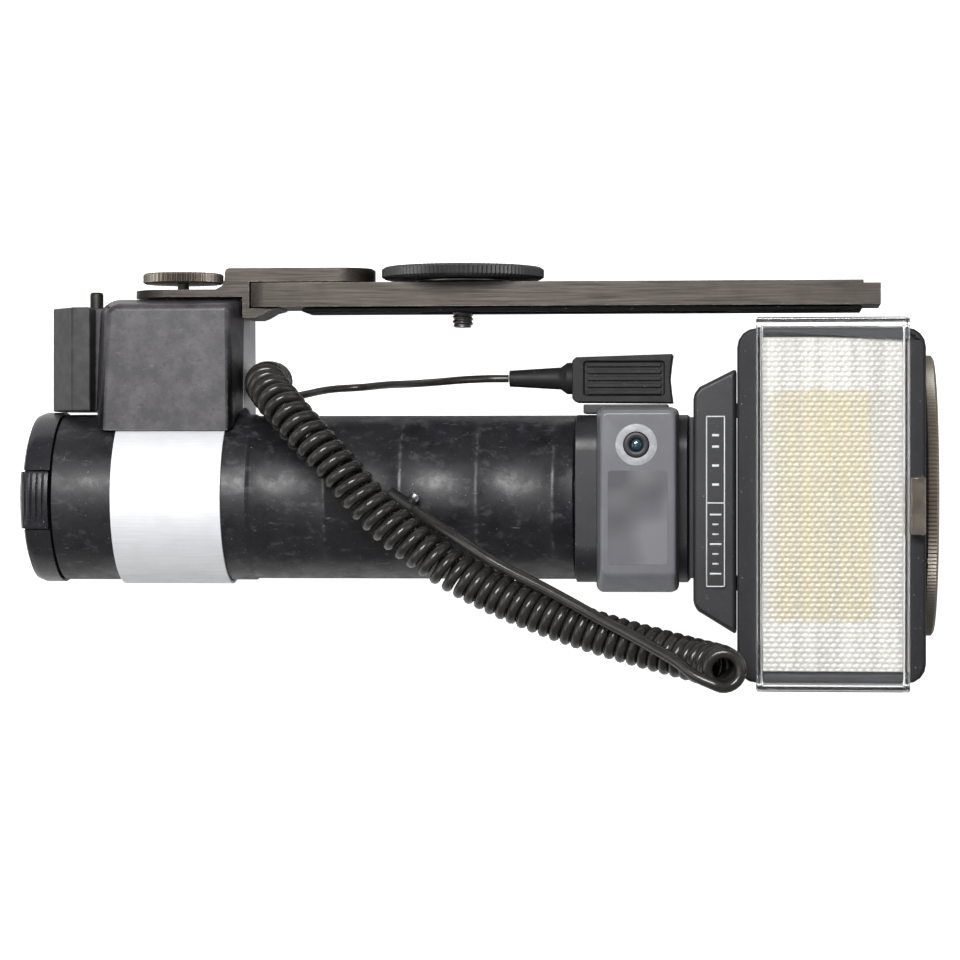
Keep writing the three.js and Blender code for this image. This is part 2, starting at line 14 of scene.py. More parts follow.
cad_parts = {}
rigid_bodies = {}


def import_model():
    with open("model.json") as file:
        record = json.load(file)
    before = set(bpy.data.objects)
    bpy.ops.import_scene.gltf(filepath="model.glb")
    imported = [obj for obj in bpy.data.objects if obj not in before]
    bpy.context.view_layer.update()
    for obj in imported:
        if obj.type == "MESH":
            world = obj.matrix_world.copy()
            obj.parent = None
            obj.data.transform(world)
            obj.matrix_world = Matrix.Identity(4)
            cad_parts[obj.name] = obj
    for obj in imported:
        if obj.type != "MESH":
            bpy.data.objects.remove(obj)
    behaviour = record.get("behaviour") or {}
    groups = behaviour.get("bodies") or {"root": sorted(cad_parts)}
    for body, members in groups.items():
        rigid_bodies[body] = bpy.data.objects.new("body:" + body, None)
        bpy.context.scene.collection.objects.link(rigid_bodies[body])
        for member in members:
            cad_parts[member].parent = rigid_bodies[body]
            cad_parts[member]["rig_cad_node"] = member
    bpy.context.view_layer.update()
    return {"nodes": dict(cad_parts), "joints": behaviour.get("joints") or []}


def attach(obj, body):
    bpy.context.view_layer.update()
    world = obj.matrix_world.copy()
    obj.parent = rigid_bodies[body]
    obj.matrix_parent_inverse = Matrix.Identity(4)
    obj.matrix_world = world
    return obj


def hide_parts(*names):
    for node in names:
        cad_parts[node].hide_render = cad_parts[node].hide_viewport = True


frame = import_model()
nodes = frame["nodes"]

MM = 0.001
LIE_ANGLE = math.radians(5)
TILT_HINGE = Vector((66, 0, -20))
CAMERA_HEIGHT = 900
CAMERA_Y = 4.7
LENS = 122.9
SENSOR = 36
AMBIENT = 0.2                 # strength of the white sky, as light on the gun
SKY_SEEN = 1.0                # and as it is seen
FLOOR_GLOW = 0.1
FLOOR_SEEN = 0.97
FLOOR_HALF = 3.0              # metres from the middle of the floor to its edge

hinge_place = Vector(next(j for j in frame["joints"] if j["name"] == "head_tilt")["pos_m"])
TURN = Matrix.Rotation(-LIE_ANGLE, 4, "Y")
DESIGN = Matrix.Translation(hinge_place - TURN @ (TILT_HINGE * MM)) @ TURN @ Matrix.Scale(MM, 4)


# ---- camera, floor and light ----

def add_camera():
    data = bpy.data.cameras.new("camera")
    data.sensor_width = SENSOR
    data.lens = LENS
    data.clip_start = 0.05
    data.clip_end = 20
    camera = bpy.data.objects.new("camera", data)
    camera.location = DESIGN.translation + Vector((0, CAMERA_Y, CAMERA_HEIGHT)) * MM
    bpy.context.scene.collection.objects.link(camera)
    bpy.context.scene.camera = camera


def add_light(name, place, width, depth, power):
    """An area light, in metres and watts, that faces the middle of the floor."""
    data = bpy.data.lights.new(name, "AREA")
    data.shape = "RECTANGLE"
    data.size = width
    data.size_y = depth
    data.energy = power
    light = bpy.data.objects.new(name, data)
    light.location = place
    light.rotation_euler = (-Vector(place)).to_track_quat("-Z", "Y").to_euler()
    bpy.context.scene.collection.objects.link(light)


def either_ray(tree, first, second):
    """One on a ray of either kind, and zero on the others."""
    path = tree.nodes.new("ShaderNodeLightPath")
    either = tree.nodes.new("ShaderNodeMath")
    either.operation = "MAXIMUM"
    tree.links.new(path.outputs[first], either.inputs[0])
    tree.links.new(path.outputs[second], either.inputs[1])
    return either.outputs["Value"]


def seen_or_not(tree, seen, unseen):
    """A strength for what is seen of the studio, straight or through glass, and one for its light."""
    mix = tree.nodes.new("ShaderNodeMapRange")
    mix.inputs["To Min"].default_value = unseen
    mix.inputs["To Max"].default_value = seen
    tree.links.new(either_ray(tree, "Is Camera Ray", "Is Transmission Ray"), mix.inputs["Value"])
    return mix.outputs["Result"]


def add_studio():
    scene = bpy.context.scene
    scene.view_settings.view_transform = "Standard"
    world = bpy.data.worlds.new("studio")
    world.use_nodes = True
    sky = world.node_tree.nodes["Background"]
    sky.inputs["Color"].default_value = (1, 1, 1, 1)
    world.node_tree.links.new(seen_or_not(world.node_tree, SKY_SEEN, AMBIENT), sky.inputs["Strength"])
    scene.world = world
    add_light("key", (-0.12, 0.3, 0.76), 0.4, 0.2, 6)
    add_light("strip", (-0.08, 0.05, 0.8), 0.6, 0.03, 0.5)
    add_light("fill", (-0.65, -0.05, 0.5), 0.5, 0.5, 1.3)
    add_light("side", (0.6, 0.1, 0.45), 0.3, 0.5, 0.6)
    add_floor()


def add_floor():
    scene = bpy.context.scene
    mesh = bpy.data.meshes.new("floor")
    half = FLOOR_HALF
    mesh.from_pydata([(-half, -half, 0), (half, -half, 0), (half, half, 0), (-half, half, 0)], [],
                     [(0, 1, 2, 3)])
    floor = bpy.data.objects.new("floor", mesh)
    scene.collection.objects.link(floor)
    material = bpy.data.materials.new("floor")
    material.use_nodes = True
    shader = material.node_tree.nodes["Principled BSDF"]
    shader.inputs["Base Color"].default_value = (0.7, 0.7, 0.7, 1)
    shader.inputs["Roughness"].default_value = 0.9
    shader.inputs["Specular IOR Level"].default_value = 0
    shader.inputs["Emission Color"].default_value = (1, 1, 1, 1)
    glow = seen_or_not(material.node_tree, FLOOR_SEEN, FLOOR_GLOW)
    material.node_tree.links.new(glow, shader.inputs["Emission Strength"])
    mesh.materials.append(material)


# ---- the cord's line ----

CABLE_R = 1.5
LEAD_R = 1.05                 # the straight lead is thinner than the coiled cable
TURN_R = 4.35                 # from the coil's middle line to the middle of the cable
TURN_STEPS = 26               # points on each turn of the coil
TURNS = 55
CROWDING = 0.22               # how much closer the turns lie in the far part of the coil
CROWD_START = 0.55
LEAD_ROUTE = [(8.6, 32.2, 9.5), (3, 32.2, 9.2), (-4, 32, 6.5), (-12, 31.6, 0), (-20, 31.4, -9),
              (-28, 31.4, -18.5), (-36, 30.9, -24.5), (-44, 30.3, -22), (-50, 28.8, -14.5),
              (-54, 27.7, -10.4), (-58.4, 27.35, -8)]
COIL_ROUTE = [(-58.4, 31.7, -8), (-58.4, 31.7, 1), (-57.2, 30.5, 12.5), (-52, 25.3, 22),
              (-44, 16.8, 27.8), (-34.4, 6.8, 30.9), (-25.1, -3.5, 32), (-13.4, -13.2, 32.9),
              (2, -22.7, 34.4), (19.3, -30.2, 37.2), (36.8, -36, 40.5), (51.2, -39.8, 43.8),
              (61, -42.1, 47.8), (66.4, -43.2, 53.6), (67.8, -43.8, 61)]
TAIL_ROUTE = [(60.2, -45.2, 59.8), (55.5, -41.7, 57.4), (48.6, -37.9, 53.6), (42, -34.5, 50.3),
              (35.2, -31.2, 47.4), (27, -26.9, 44.6), (19.4, -23, 42.3), (11.3, -19.1, 40.1),
              (4, -15.1, 38.2), (-3, -10.6, 35.6), (-9.5, -7, 31.6), (-15.2, -3.4, 27.2)]
COIL_START = math.radians(270)    # where on the coil's rim the lead comes in
COIL_END = math.radians(240)      # and where the tail leaves


def smooth_line(route, steps):
    """Points on a centripetal Catmull-Rom curve, which is the curve of the CAD solids."""
    points = [Vector(p) for p in route]
    points = [2 * points[0] - points[1], *points, 2 * points[-1] - points[-2]]
    line = []
    for a, b, c, d in zip(points, points[1:], points[2:], points[3:]):
        before, here, after = ((q - p).length ** 0.5 for p, q in ((a, b), (b, c), (c, d)))
        leave = ((b - a) / before - (c - a) / (before + here) + (c - b) / here) * here
        arrive = ((c - b) / here - (d - b) / (here + after) + (d - c) / after) * here
        for i in range(steps):
            t = i / steps
            line.append((2 * t**3 - 3 * t**2 + 1) * b + (t**3 - 2 * t**2 + t) * leave
                        + (3 * t**2 - 2 * t**3) * c + (t**3 - t**2) * arrive)
    line.append(points[-2])
    return line


def coil_line():
    """The cable's middle line round the coil. The turns go clockwise, seen from the end."""
    middle = smooth_line(COIL_ROUTE, 24)
    reach = [0.0]
    for a, b in zip(middle, middle[1:]):
        reach.append(reach[-1] + (b - a).length)
    tangents = [(b - a).normalized() for a, b in zip(middle, middle[1:])]
    tangents.append(tangents[-1])
    normal = (Vector((1, 0, 0)) - tangents[0] * tangents[0].x).normalized()
    normals = [normal]
    for t in tangents[1:]:
        normal = (normal - t * normal.dot(t)).normalized()
        normals.append(normal)
    level = (Vector((1, 0, 0)) - tangents[-1] * tangents[-1].x).normalized()
    drift = math.atan2(normal.dot(tangents[-1].cross(level)), normal.dot(level))
    turning = COIL_START - (COIL_END - drift) + 2 * math.pi * TURNS
    count = TURN_STEPS * TURNS
    line = []
    k = 0
    for i in range(count + 1):
        at = reach[-1] * i / count
        while k < len(reach) - 2 and reach[k + 1] < at:
            k += 1
        share = (at - reach[k]) / (reach[k + 1] - reach[k])
        centre = middle[k].lerp(middle[k + 1], share)
        tangent = tangents[k].lerp(tangents[k + 1], share).normalized()
        normal = normals[k].lerp(normals[k + 1], share).normalized()
        along = i / count
        crowded = (along + CROWDING * max(0, along - CROWD_START)) / (1 + CROWDING * (1 - CROWD_START))
        angle = COIL_START - turning * crowded
        side = tangent.cross(normal)
        line.append(centre + TURN_R * (math.cos(angle) * normal + math.sin(angle) * side))
    return line


def add_cord_curve():
    coil = coil_line()
    lead = smooth_line(LEAD_ROUTE, 5)[:-1]
    line = lead + coil + smooth_line([coil[-1], *TAIL_ROUTE], 5)[1:]
    curve = bpy.data.curves.new("sync_cord", "CURVE")
    curve.dimensions = "3D"
    curve.bevel_depth = 1
    curve.bevel_resolution = 3
    curve.use_fill_caps = True
    spline = curve.splines.new("POLY")
    spline.points.add(len(line) - 1)
    for i, (point, place) in enumerate(zip(spline.points, line)):
        point.co = (*(DESIGN @ place), 1)
        swell = min(1, max(0, (i - len(lead)) / TURN_STEPS + 0.4))
        point.radius = (LEAD_R + (CABLE_R - LEAD_R) * swell) * MM
    spline.use_smooth = True
    cord = bpy.data.objects.new("sync_cord", curve)
    bpy.context.scene.collection.objects.link(cord)
    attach(cord, "root")
    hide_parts("cord_lead", "cord_coil", "cord_tail")
    return cord


add_camera()
cord = add_cord_curve()
add_studio()


# ---- materials ----

class Look:
    """A Principled material whose colour, roughness and relief vary by place on the gun."""

    def __init__(self, name, color, roughness, metallic=0.0, **sockets):
        self.material = bpy.data.materials.new(name)
        self.material.use_nodes = True
        self.tree = self.material.node_tree
        self.shader = self.tree.nodes["Principled BSDF"]
        self.shader.inputs["Metallic"].default_value = metallic
        for socket, value in sockets.items():
            self.shader.inputs[socket.replace("_", " ")].default_value = value
        self.color = (*color, 1)
        self.roughness = roughness
        self.heights = []

    def node(self, kind, **settings):
        made = self.tree.nodes.new(kind)
        for key, value in settings.items():
            setattr(made, key, value)
        return made

    def feed(self, socket, value):
        if isinstance(value, bpy.types.NodeSocket):
            self.tree.links.new(value, socket)
        else:
            socket.default_value = value

    def place(self, stretch=(1, 1, 1)):
        """Where the point is, turned into the gun's frame, in millimetres, then stretched."""
        where = self.node("ShaderNodeTexCoord")
        turn = self.node("ShaderNodeVectorRotate", rotation_type="Y_AXIS")
        turn.inputs["Angle"].default_value = LIE_ANGLE
        self.feed(turn.inputs["Vector"], where.outputs["Object"])
        scale = self.node("ShaderNodeVectorMath", operation="MULTIPLY")
        self.feed(scale.inputs[0], turn.outputs["Vector"])
        scale.inputs[1].default_value = [s / MM for s in stretch]
        return scale.outputs["Vector"]

    def noise(self, scale, detail=3.0, stretch=(1, 1, 1), roughness=0.55):
        made = self.node("ShaderNodeTexNoise")
        self.feed(made.inputs["Vector"], self.place(stretch))
        made.inputs["Scale"].default_value = scale
        made.inputs["Detail"].default_value = detail
        made.inputs["Roughness"].default_value = roughness
        return made.outputs["Fac"]

    def spread(self, value, low, high, to_low=0.0, to_high=1.0):
        made = self.node("ShaderNodeMapRange", clamp=True)
        self.feed(made.inputs["Value"], value)
        for socket, number in zip(made.inputs[1:5], (low, high, to_low, to_high)):
            socket.default_value = number
        return made.outputs["Result"]

    def math(self, operation, a, b=0.0):
        made = self.node("ShaderNodeMath", operation=operation)
        self.feed(made.inputs[0], a)
        self.feed(made.inputs[1], b)
        return made.outputs["Value"]

    def tint(self, mask, color, amount=1.0):
        """Moves the colour towards another one where the mask is high."""
        mix = self.node("ShaderNodeMix", data_type="RGBA")
        self.feed(mix.inputs["Factor"], self.math("MULTIPLY", mask, amount))
        self.feed(mix.inputs["A"], self.color)
        self.feed(mix.inputs["B"], (*color, 1))
        self.color = mix.outputs["Result"]

    def roughen(self, mask, amount):
        """Adds to the roughness where the mask is high."""
        self.roughness = self.math("ADD", self.math("MULTIPLY", mask, amount), self.roughness)

    def relief(self, height, strength, distance):
        self.heights.append((height, strength, distance))

    def edges(self, radius):
        """A mask of the convex and concave edges, from how a rounded normal differs."""
        bevel = self.node("ShaderNodeBevel", samples=4)
        bevel.inputs["Radius"].default_value = radius * MM
        plain = self.node("ShaderNodeNewGeometry")
        dot = self.node("ShaderNodeVectorMath", operation="DOT_PRODUCT")
        self.feed(dot.inputs[0], bevel.outputs["Normal"])
        self.feed(dot.inputs[1], plain.outputs["Normal"])
        return self.spread(dot.outputs["Value"], 0.985, 0.9)

    def wear(self, radius, color, amount):
        """Rubs the edges through to another colour in patches."""
        patches = self.spread(self.noise(0.6, 5), 0.42, 0.62)
        self.tint(self.math("MULTIPLY", self.edges(radius), patches), color, amount)

    def attribute(self, name):
        made = self.node("ShaderNodeAttribute", attribute_name=name)
        return made.outputs["Fac"]

    def done(self):
        self.feed(self.shader.inputs["Base Color"], self.color)
        self.feed(self.shader.inputs["Roughness"], self.roughness)
        normal = None
        for height, strength, distance in self.heights:
            bump = self.node("ShaderNodeBump")
            bump.inputs["Strength"].default_value = strength
            bump.inputs["Distance"].default_value = distance * MM
            self.feed(bump.inputs["Height"], height)
            if normal:
                self.feed(bump.inputs["Normal"], normal)
            normal = bump.outputs["Normal"]
        if normal:
            self.feed(self.shader.inputs["Normal"], normal)
        return self.material


def moulded(name, color, roughness, grain=0.5, light=(0.12, 0.12, 0.13), scratches=0.0, gloss=0.5):
    """Moulded plastic: fine spark texture, duller patches, dust specks and scratches."""
    look = Look(name, color, roughness, Specular_IOR_Level=gloss)
    look.tint(look.spread(look.noise(0.09, 4), 0.35, 0.75), light, 0.25)
    look.roughen(look.spread(look.noise(0.25, 5), 0.3, 0.7), 0.12)
    look.relief(look.noise(3.2, 2), grain, 0.05)
    specks = look.spread(look.noise(1.7, 1), 0.74, 0.8)
    look.tint(specks, (0.35, 0.35, 0.36), 0.5)
    if scratches:
        fine = look.spread(look.noise(0.5, 6, (0.25, 1.6, 1), 0.7), 0.62, 0.72)
        patch = look.spread(look.noise(0.06, 2), 0.45, 0.65)
        mask = look.math("MULTIPLY", fine, patch)
        look.tint(mask, (0.42, 0.4, 0.4), scratches)
        look.roughen(mask, 0.2)
    return look


def brushed(name, color, roughness, dark, along=(0.02, 1, 1), strength=0.3, metallic=1.0):
    """Metal brushed along X, with darker patches."""
    look = Look(name, color, roughness, metallic)
    lines = look.noise(2.4, 4, along)
    look.tint(look.spread(lines, 0.35, 0.7), dark, 0.6)
    look.tint(look.spread(look.noise(0.12, 4), 0.45, 0.75), dark, 0.5)
    look.roughen(look.spread(lines, 0.3, 0.7), 0.12)
    look.relief(lines, strength, 0.03)
    return look


def mottled(name, base, roughness, patches, color, amount, metallic=0.0, **sockets):
    """A plain look with patches of a second colour: noise scale and detail, then its low and high."""
    scale, detail, low, high = patches
    look = Look(name, base, roughness, metallic, **sockets)
    look.tint(look.spread(look.noise(scale, detail), low, high), color, amount)
    return look


def grip_look():
    look = moulded("grip_plastic", (0.01, 0.01, 0.012), 0.28, 0.3, (0.04, 0.037, 0.045), 0.5, 0.5)
    look.roughen(look.spread(look.noise(0.16, 5, roughness=0.7), 0.38, 0.62), 0.16)
    look.relief(look.noise(0.5, 5), 0.25, 0.12)
    # Paler ridge tops: partly rubbing, partly a painted highlight along the ridges.
    rubbed = look.math("MULTIPLY", look.attribute("wear"), look.spread(look.noise(0.35, 6), 0.46, 0.62))
    look.tint(rubbed, (0.3, 0.29, 0.29), 0.22)
    smears = look.spread(look.noise(0.28, 6, (0.7, 1, 1), 0.7), 0.54, 0.72)
    look.tint(smears, (0.09, 0.085, 0.095), 0.6)
    return look.done()


def cord_jacket_look():
    look = mottled("cord_jacket", (0.02, 0.019, 0.017), 0.2, (0.2, 4, 0.4, 0.7), (0.04, 0.038, 0.033), 0.6)
    look.roughen(look.spread(look.noise(0.5, 4), 0.35, 0.7), 0.08)
    look.relief(look.noise(2.5, 3), 0.1, 0.02)
    return look.done()


def block_look():
    """The clamp cover's paint: cloudy, rubbed and nicked."""
    look = Look("block_paint", (0.034, 0.032, 0.036), 0.32)
    look.tint(look.spread(look.noise(0.16, 6, roughness=0.65), 0.4, 0.68), (0.1, 0.092, 0.1), 0.8)
    look.tint(look.spread(look.noise(0.9, 5), 0.56, 0.7), (0.024, 0.023, 0.026), 0.7)
    rubs = look.spread(look.noise(1.1, 6, (0.35, 0.9, 1), 0.7), 0.6, 0.72)
    look.tint(rubs, (0.2, 0.185, 0.195), 0.45)
    nicks = look.spread(look.noise(0.8, 7, (1.5, 0.3, 1), 0.75), 0.66, 0.72)
    look.tint(nicks, (0.012, 0.012, 0.014), 0.7)
    look.roughen(look.noise(0.7, 5), 0.22)
    look.relief(look.noise(2.2, 4), 0.35, 0.06)
    look.wear(0.5, (0.4, 0.38, 0.38), 0.5)
    return look.done()


def latch_look():
    look = mottled("latch_paint", (0.03, 0.029, 0.031), 0.4, (0.3, 4, 0.4, 0.7), (0.06, 0.058, 0.059), 0.7,
                   Specular_IOR_Level=0.32)
    look.relief(look.noise(2.6, 3), 0.4, 0.05)
    look.wear(0.4, (0.4, 0.4, 0.4), 0.4)
    return look.done()


def bronze_look():
    look = brushed("bronze_metal", (0.068, 0.06, 0.054), 0.42, (0.034, 0.03, 0.027), (0.03, 1, 1), 0.12)
    look.wear(0.5, (0.24, 0.21, 0.19), 0.6)
    return look.done()


def knurled_look(name, color):
    look = Look(name, color, 0.42, 0.8)
    look.tint(look.edges(0.35), (0.42, 0.34, 0.27), 0.8)
    look.relief(look.noise(3, 3), 0.3, 0.04)
    return look.done()


def clear_look():
    look = Look("clear_acrylic", (0.97, 0.98, 0.98), 0.03, IOR=1.49, Transmission_Weight=1.0)
    look.roughen(look.spread(look.noise(0.8, 6, (0.3, 1, 1)), 0.55, 0.75), 0.12)
    return see_through(look, 0.93)


def plastic_looks():
    return {
        "grip": grip_look(),
        "body": moulded("body_plastic", (0.022, 0.022, 0.024), 0.32, 0.5, (0.06, 0.06, 0.065), 0,
                        0.34).done(),
        "head": moulded("head_plastic", (0.012, 0.012, 0.014), 0.42, 0.9, (0.028, 0.028, 0.032), 0,
                        0.26).done(),
        "cap": moulded("cap_plastic", (0.015, 0.015, 0.018), 0.2, 0.15, (0.03, 0.03, 0.035), 0.2).done(),
        "rubber": moulded("black_rubber", (0.012, 0.012, 0.012), 0.45, 1.0, (0.03, 0.03, 0.03), 0,
                          0.25).done(),
        "pad": moulded("pad_rubber", (0.004, 0.004, 0.004), 0.7, 1.0, (0.01, 0.01, 0.01), 0, 0.12).done(),
        "wheel": moulded("wheel_plastic", (0.02, 0.02, 0.02), 0.45, 0.5).done(),
        "cord": cord_jacket_look(),
        "block": block_look(),
        "latch": latch_look(),
    }


def metal_looks():
    even = (1, 1, 1)
    lengthwise = (0.03, 1, 1)
    return {
        "silver": brushed("cast_silver", (0.74, 0.74, 0.76), 0.4, (0.55, 0.55, 0.57), even, 0.3, 0.6).done(),
        "band": brushed("band_aluminium", (0.9, 0.91, 0.93), 0.5, (0.74, 0.75, 0.77), lengthwise, 0.3,
                        0.3).done(),
        "bronze": bronze_look(),
        "knurl": knurled_look("knurl_bronze", (0.1, 0.09, 0.08)),
        "dial": knurled_look("dial_bronze", (0.26, 0.235, 0.205)),
        "steel": brushed("dull_steel", (0.3, 0.29, 0.28), 0.34, (0.12, 0.115, 0.11), even).done(),
        "bright": brushed("bright_steel", (0.7, 0.7, 0.71), 0.25, (0.5, 0.5, 0.5), even).done(),
        "brass": brushed("brass", (0.62, 0.46, 0.2), 0.3, (0.4, 0.3, 0.14), even).done(),
        "mirror": mottled("reflector_metal", (0.86, 0.83, 0.72), 0.18, (0.4, 3, 0.4, 0.7),
                          (0.95, 0.9, 0.74), 0.5, 1.0).done(),
    }


def glass_looks():
    return {
        "clear": clear_look(),
        "smoke": mottled("smoky_acrylic", (0.5, 0.44, 0.37), 0.08, (0.3, 3, 0.4, 0.65), (0.2, 0.17, 0.15),
                         0.8, IOR=1.49, Transmission_Weight=0.8).done(),
        "window": window_look(),
        "pane": mottled("sensor_pane", (0.075, 0.075, 0.082), 0.35, (0.05, 1, 0.4, 0.56),
                        (0.2, 0.2, 0.212), 0.8, Specular_IOR_Level=0.35).done(),
        "halo": mottled("sensor_halo", (0.3, 0.31, 0.33), 0.45, (0.4, 2, 0.45, 0.6), (0.42, 0.43, 0.44),
                        0.8).done(),
        "frosted": frosted_look(),
        "lens": mottled("lens_glass", (0.01, 0.03, 0.05), 0.06, (0.5, 2, 0.4, 0.6), (0.03, 0.12, 0.16), 0.8,
                        Coat_Weight=1.0, Coat_Roughness=0.03).done(),
        "tube": mottled("tube_glass", (0.9, 0.9, 0.86), 0.1, (0.5, 2, 0.4, 0.7), (0.8, 0.78, 0.7), 0.6,
                        Transmission_Weight=0.5).done(),
    }


def small_looks():
    """Print, the lamp, and the pieces inside the handle."""
    return {
        "print": mottled("white_print", (0.72, 0.73, 0.74), 0.5, (1.5, 3, 0.5, 0.7), (0.5, 0.5, 0.52),
                         0.6).done(),
        "board": mottled("circuit_board", (0.03, 0.13, 0.05), 0.4, (0.5, 2, 0.5, 0.55), (0.05, 0.2, 0.08),
                         0.8).done(),
        "cell": mottled("cell_jacket", (0.35, 0.2, 0.05), 0.3, (0.1, 2, 0.5, 0.52), (0.03, 0.03, 0.03),
                        0.9, 0.4).done(),
        "can": mottled("capacitor_sleeve", (0.04, 0.08, 0.2), 0.32, (0.3, 3, 0.4, 0.7),
                       (0.06, 0.12, 0.28), 0.7).done(),
        "red": mottled("lamp_red", (0.5, 0.03, 0.02), 0.15, (1, 2, 0.4, 0.7), (0.7, 0.08, 0.04), 0.6,
                       Coat_Weight=0.6).done(),
    }


def see_through(look, share):
    """Lets light through to what is behind, so that a clear cover doesn't darken it."""
    material = look.done()
    tree = material.node_tree
    clear = tree.nodes.new("ShaderNodeBsdfTransparent")
    clear.inputs["Color"].default_value = (share, share, share, 1)
    mix = tree.nodes.new("ShaderNodeMixShader")
    tree.links.new(either_ray(tree, "Is Shadow Ray", "Is Diffuse Ray"), mix.inputs["Fac"])
    tree.links.new(look.shader.outputs["BSDF"], mix.inputs[1])
    tree.links.new(clear.outputs["BSDF"], mix.inputs[2])
    tree.links.new(mix.outputs["Shader"], tree.nodes["Material Output"].inputs["Surface"])
    return material


def window_look():
    """Pebbled acrylic over the reflector: cream in the middle, whiter beyond it, faint columns, painted
    shade between the beads.
    """
    look = Look("window_acrylic", (0.93, 0.92, 0.89), 0.2, IOR=1.49, Transmission_Weight=0.1)
    split = look.node("ShaderNodeSeparateXYZ")
    look.feed(split.inputs["Vector"], look.place())
    across, up = split.outputs["X"], split.outputs["Y"]
    wander = look.spread(look.noise(0.3, 3), 0, 1, -2, 2)
    middle = look.math("ABSOLUTE", look.math("ADD", look.math("SUBTRACT", up, CORE_MIDDLE.y), wander))
    band = look.spread(middle, 30.8, 29)
    aside = look.math("ABSOLUTE", look.math("SUBTRACT", across, CORE_MIDDLE.x))
    core = look.math("MULTIPLY", band, look.spread(aside, 14.5, 11))
    look.tint(band, (0.7, 0.69, 0.62), 0.7)
    look.tint(core, (0.76, 0.66, 0.41), 0.85)
    columns = look.spread(look.noise(0.3, 3, (1, 0.03, 0.03)), 0.42, 0.66)
    look.tint(columns, (0.55, 0.54, 0.52), 0.7)
    look.tint(look.spread(look.noise(0.75, 5, roughness=0.7), 0.52, 0.7), (0.45, 0.43, 0.37), 0.5)
    # Painted shade: darker and warmer between the beads.
    look.tint(look.attribute("groove"), (0.5, 0.45, 0.35), 0.45)
    return look.done()


def frosted_look():
    look = Look("frosted_window", (0.16, 0.162, 0.176), 0.3, Coat_Weight=0.2, Coat_Roughness=0.12,
                Specular_IOR_Level=0.35)
    look.tint(look.spread(look.noise(0.12, 4), 0.35, 0.7), (0.22, 0.225, 0.24), 0.7)
    look.tint(look.edges(0.8), (0.34, 0.345, 0.36), 0.6)
    look.tint(look.attribute("window"), (0.1, 0.1, 0.11), 0.6)
    look.tint(look.spread(look.noise(1.8, 2), 0.72, 0.8), (0.5, 0.5, 0.52), 0.6)
    look.roughen(look.noise(0.6, 4), 0.15)
    look.relief(look.noise(2.5, 3), 0.3, 0.04)
    return look.done()


# The middle of the window's cream patch, where the materials' own frame has it.
CORE_MIDDLE = Vector((93.1, -1.9, 0)) + TURN.inverted() @ DESIGN.translation / MM
LOOKS = {**plastic_looks(), **metal_looks(), **glass_looks(), **small_looks()}


# ---- shapes ----

EDGE_ANGLE = math.radians(35)     # edges sharper than this are rounded


def outline_box(x0, x1, y0, y1, r=0.0, steps=5):
    """A rectangle's corners, rounded by r."""
    if not r:
        return [(x0, y0), (x1, y0), (x1, y1), (x0, y1)]
    points = []
    corners = ((x1 - r, y0 + r, -90), (x1 - r, y1 - r, 0), (x0 + r, y1 - r, 90), (x0 + r, y0 + r, 180))
    for cx, cy, start in corners:
        for i in range(steps + 1):
            a = math.radians(start + 90 * i / steps)
            points.append((cx + r * math.cos(a), cy + r * math.sin(a)))
    return points


def upright(cx, cz):
    """Places a turned shape with its axis along Y."""
    return lambda u, v, h: (cx + u, h, cz + v)


def along_x(cy, cz):
    """Places a turned shape with its axis along X."""
    return lambda u, v, h: (h, cy + u, cz + v)


def facing(cx, cy):
    """Places a turned shape with its axis along Z."""
    return lambda u, v, h: (cx + u, cy + v, h)


def raised(outline, height):
    return [(x, y, height) for x, y in outline]


def bar_at(angle, near, far, half_width, centre=(0, 0)):
    """A thin bar's corners, pointing away from a centre."""
    corners = []
    for r, s in ((near, -half_width), (far, -half_width), (far, half_width), (near, half_width)):
        corners.append((centre[0] + r * math.cos(angle) - s * math.sin(angle),
                        centre[1] + r * math.sin(angle) + s * math.cos(angle)))
    return corners


def prism(outline, low, high, place=lambda x, y, z: (x, y, z)):
    n = len(outline)
    verts = [place(x, y, z) for z in (low, high) for x, y in outline]
    faces = [tuple(range(n)), tuple(range(2 * n - 1, n - 1, -1))]
    faces += [(i, (i + 1) % n, n + (i + 1) % n, n + i) for i in range(n)]
    return verts, faces


def loft(loops, closed=False):
    """Through loops of equally many points, with caps or joined end to end."""
    n = len(loops[0])
    rows = len(loops)
    verts = [p for loop in loops for p in loop]
    faces = []
    for i in range(rows if closed else rows - 1):
        k = (i + 1) % rows
        for j in range(n):
            m = (j + 1) % n
            faces.append((i * n + j, i * n + m, k * n + m, k * n + j))
    if not closed:
        faces += [tuple(range(n)), tuple((rows - 1) * n + j for j in range(n))]
    return verts, faces


def turned(profile, sides, place, shape=lambda r, _h, _a: r):
    """A closed profile of radius and height, turned. shape may change the radius."""
    loops = []
    for i in range(sides):
        a = 2 * math.pi * i / sides
        ring = []
        for r, h in profile:
            radius = shape(r, h, a)
            ring.append(place(radius * math.cos(a), radius * math.sin(a), h))
        loops.append(ring)
    return loft(loops, closed=True)


def merged(*shapes):
    verts = []
    faces = []
    for more_verts, more_faces in shapes:
        start = len(verts)
        verts += more_verts
        faces += [tuple(start + i for i in face) for face in more_faces]
    return verts, faces


def smooth(mesh):
    mesh.polygons.foreach_set("use_smooth", [True] * len(mesh.polygons))


